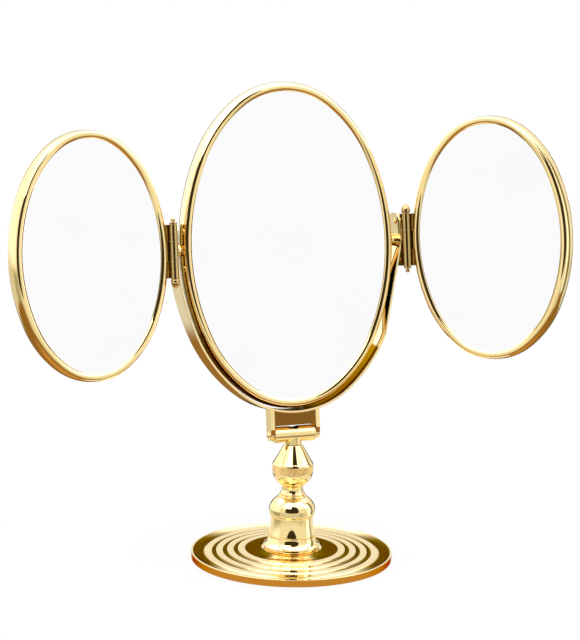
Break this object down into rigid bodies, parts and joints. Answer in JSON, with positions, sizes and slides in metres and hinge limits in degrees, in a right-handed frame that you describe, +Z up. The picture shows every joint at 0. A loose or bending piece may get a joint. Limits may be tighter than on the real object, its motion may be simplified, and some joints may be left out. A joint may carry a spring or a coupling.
{
  "type": "makeup mirror",
  "caption": "Free-standing tri-fold makeup mirror: oval mirrors in brass frames on a tilting yoke, with folding side wings, a locking column and a ringed round base.",
  "frame": {"origin": "centre of the base, on the table it stands on", "axes": "+Z up, -Y towards the person at the mirror, +X to that person's right"},
  "size_m": [0.4887, 0.1899, 0.4242],
  "materials": {
    "polished_brass": "polished, lacquered",
    "mirror_glass": "silvered glass",
    "screw_steel": "zinc plated",
    "iron": "as cast",
    "felt": "felt",
    "bush_plastic": "plain",
    "packing_board": "plain board"
  },
  "bodies": {
    "stand": {"base_dish": "polished_brass", "base_weight": "iron", "base_felt": "felt", "base_washer": "screw_steel", "base_nut": "screw_steel", "column_tube": "polished_brass", "column_foot": "polished_brass", "column_sleeve": "polished_brass", "column_cap": "polished_brass", "neck_collet": "polished_brass"},
    "collar": {"locking_collar": "polished_brass"},
    "stem": {"stem_rod": "polished_brass", "stem_stop": "screw_steel", "swivel_screw": "screw_steel"},
    "pivot": {"pivot_barrel": "polished_brass", "tilt_bushes": "bush_plastic"},
    "yoke": {"tilt_bracket": "polished_brass", "tilt_screws": "polished_brass", "yoke_band": "polished_brass", "bracket_screws": "screw_steel", "frame_pivot_studs": "polished_brass", "pivot_washers": "polished_brass", "left_yoke_leaf": "polished_brass", "right_yoke_leaf": "polished_brass", "left_hinge_pin": "polished_brass", "right_hinge_pin": "polished_brass", "yoke_leaf_rivets": "polished_brass"},
    "centre_mirror": {"centre_band": "polished_brass", "centre_front_bezel": "polished_brass", "centre_rear_bezel": "polished_brass", "centre_front_glass": "mirror_glass", "centre_rear_glass": "mirror_glass", "centre_packing": "packing_board", "centre_pivot_bushes": "polished_brass"},
    "left_wing": {"left_wing_band": "polished_brass", "left_wing_bezel": "polished_brass", "left_wing_glass": "mirror_glass", "left_wing_packing": "packing_board", "left_wing_back": "polished_brass", "left_wing_leaf": "polished_brass", "left_wing_rivets": "polished_brass"},
    "right_wing": {"right_wing_band": "polished_brass", "right_wing_bezel": "polished_brass", "right_wing_glass": "mirror_glass", "right_wing_packing": "packing_board", "right_wing_back": "polished_brass", "right_wing_leaf": "polished_brass", "right_wing_rivets": "polished_brass"}
  },
  "joints": [
    {"name": "collar_turn", "type": "hinge", "parent": "stand", "child": "collar", "pos_m": [0, 0, 0.09], "axis": [0, 0, 1], "range_deg": [0, 270]},
    {"name": "stem_height", "type": "slide", "parent": "stand", "child": "stem", "axis": [0, 0, 1], "range_m": [0, 0.04]},
    {"name": "head_swivel", "type": "hinge", "parent": "stem", "child": "pivot", "pos_m": [0, 0, 0.11], "axis": [0, 0, 1], "continuous": true},
    {"name": "head_tilt", "type": "hinge", "parent": "pivot", "child": "yoke", "pos_m": [0, 0, 0.115], "axis": [-1, 0, 0], "range_deg": [-29, 26]},
    {"name": "mirror_flip", "type": "hinge", "parent": "yoke", "child": "centre_mirror", "pos_m": [0, 0.02628, 0.28093], "axis": [1, 0, 0], "range_deg": [-180, 180]},
    {"name": "left_wing_fold", "type": "hinge", "parent": "yoke", "child": "left_wing", "pos_m": [-0.1093, 0.01117, 0.28332], "axis": [0, 0.1564, 0.9877], "range_deg": [-13.5, 116.5]},
    {"name": "right_wing_fold", "type": "hinge", "parent": "yoke", "child": "right_wing", "pos_m": [0.1093, 0.01117, 0.28332], "axis": [0, -0.1564, -0.9877], "range_deg": [-48, 82]}
  ]
}
